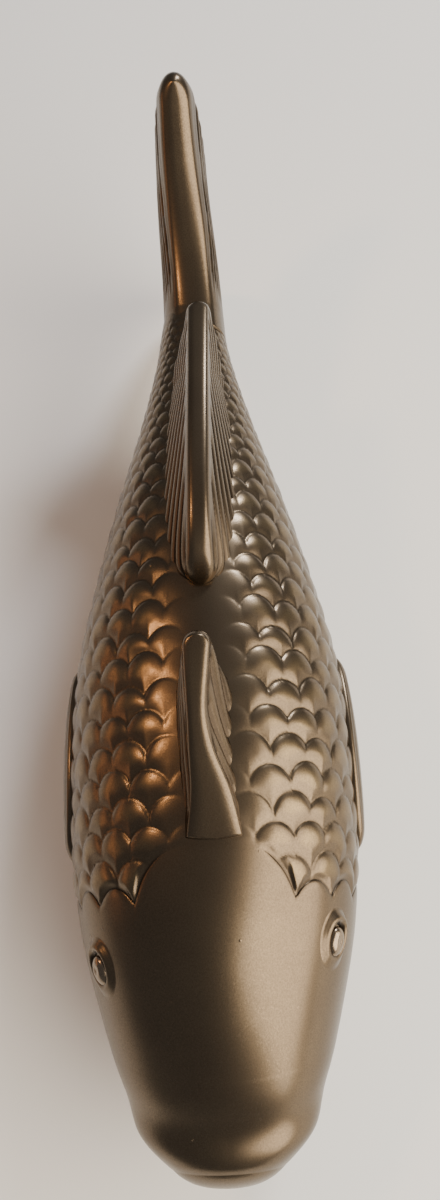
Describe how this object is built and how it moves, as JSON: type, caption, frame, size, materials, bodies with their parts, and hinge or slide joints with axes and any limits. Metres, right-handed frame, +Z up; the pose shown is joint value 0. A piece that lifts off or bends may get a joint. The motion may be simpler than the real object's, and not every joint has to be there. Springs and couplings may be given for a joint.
{
  "type": "carp figure",
  "caption": "Hollow glazed stoneware carp that lies on its belly with a raised forked tail, separate fins, lips and eyes, and felt pads under a flat foot.",
  "frame": {"origin": "bottom centre of the whole figure, on the surface that it rests on", "axes": "+X from the lips towards the tail, +Y towards the figure's right flank, +Z up"},
  "size_m": [0.5999, 0.17, 0.2059],
  "materials": {
    "bronze_lustre_glaze": "satin metallic lustre glaze",
    "eye_glaze": "glossier metallic lustre glaze",
    "felt": "pressed felt"
  },
  "bodies": {
    "root": {"head_shell": "bronze_lustre_glaze", "left_flank_shell": "bronze_lustre_glaze", "right_flank_shell": "bronze_lustre_glaze", "upper_lip": "bronze_lustre_glaze", "lower_lip": "bronze_lustre_glaze", "front_dorsal_fin": "bronze_lustre_glaze", "rear_dorsal_fin": "bronze_lustre_glaze", "tail_fin": "bronze_lustre_glaze", "anal_fin": "bronze_lustre_glaze", "left_pectoral_fin": "bronze_lustre_glaze", "left_pelvic_fin": "bronze_lustre_glaze", "left_eye_ring": "bronze_lustre_glaze", "left_eye_bead": "eye_glaze", "left_front_pad": "felt", "left_rear_pad": "felt", "right_pectoral_fin": "bronze_lustre_glaze", "right_pelvic_fin": "bronze_lustre_glaze", "right_eye_ring": "bronze_lustre_glaze", "right_eye_bead": "eye_glaze", "right_front_pad": "felt", "right_rear_pad": "felt"}
  },
  "joints": []
}
